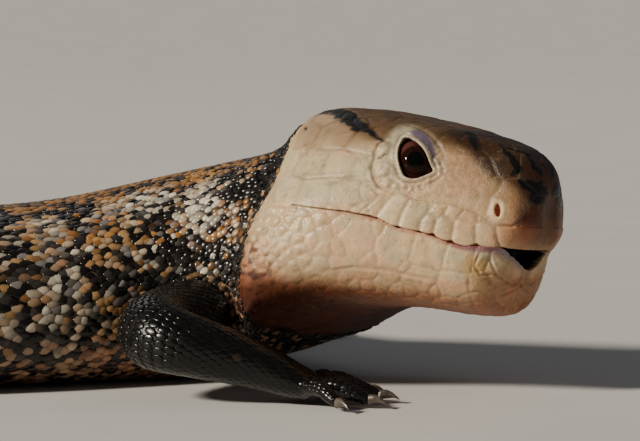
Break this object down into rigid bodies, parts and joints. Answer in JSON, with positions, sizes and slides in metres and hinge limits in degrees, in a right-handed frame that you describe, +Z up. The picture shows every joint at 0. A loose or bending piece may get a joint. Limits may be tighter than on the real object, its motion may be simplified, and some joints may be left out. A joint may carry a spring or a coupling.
{
  "type": "blue-tongued skink",
  "caption": "Still life-size model of a blue-tongued skink, lying on its belly with its pale head raised and turned to its right, mouth slightly open.",
  "frame": {"origin": "the middle of the belly's rest face, on the floor", "axes": "+X towards the head along the trunk, +Y to the animal's left, +Z up"},
  "size_m": [0.4848, 0.1689, 0.0479],
  "materials": {
    "head_skin": "pale tan pink, smooth shields with dark seams on the snout",
    "body_skin": "overlapping scales mottled black, tan and orange brown",
    "limb_skin": "glossy black scales",
    "eye": "wet dark brown",
    "tongue": "moist dark blue",
    "claw": "dark horn"
  },
  "bodies": {
    "root": {"head": "head_skin", "lower_jaw": "head_skin", "neck": "body_skin", "trunk_front": "body_skin", "trunk_middle": "body_skin", "trunk_rear": "body_skin", "tail_base": "body_skin", "tail_middle": "body_skin", "tail_tip": "body_skin", "fore_right_upper": "limb_skin", "fore_right_lower": "limb_skin", "fore_right_hand": "limb_skin", "fore_left_upper": "limb_skin", "fore_left_lower": "limb_skin", "fore_left_hand": "limb_skin", "hind_right_upper": "limb_skin", "hind_right_lower": "limb_skin", "hind_right_foot": "limb_skin", "hind_left_upper": "limb_skin", "hind_left_lower": "limb_skin", "hind_left_foot": "limb_skin", "eye_right": "eye", "eye_left": "eye", "tongue": "tongue", "claw_fore_right_1": "claw", "claw_fore_right_2": "claw", "claw_fore_right_3": "claw", "claw_fore_right_4": "claw", "claw_fore_right_5": "claw", "claw_fore_left_1": "claw", "claw_fore_left_2": "claw", "claw_fore_left_3": "claw", "claw_fore_left_4": "claw", "claw_fore_left_5": "claw", "claw_hind_right_1": "claw", "claw_hind_right_2": "claw", "claw_hind_right_3": "claw", "claw_hind_right_4": "claw", "claw_hind_right_5": "claw", "claw_hind_left_1": "claw", "claw_hind_left_2": "claw", "claw_hind_left_3": "claw", "claw_hind_left_4": "claw", "claw_hind_left_5": "claw"}
  },
  "joints": []
}
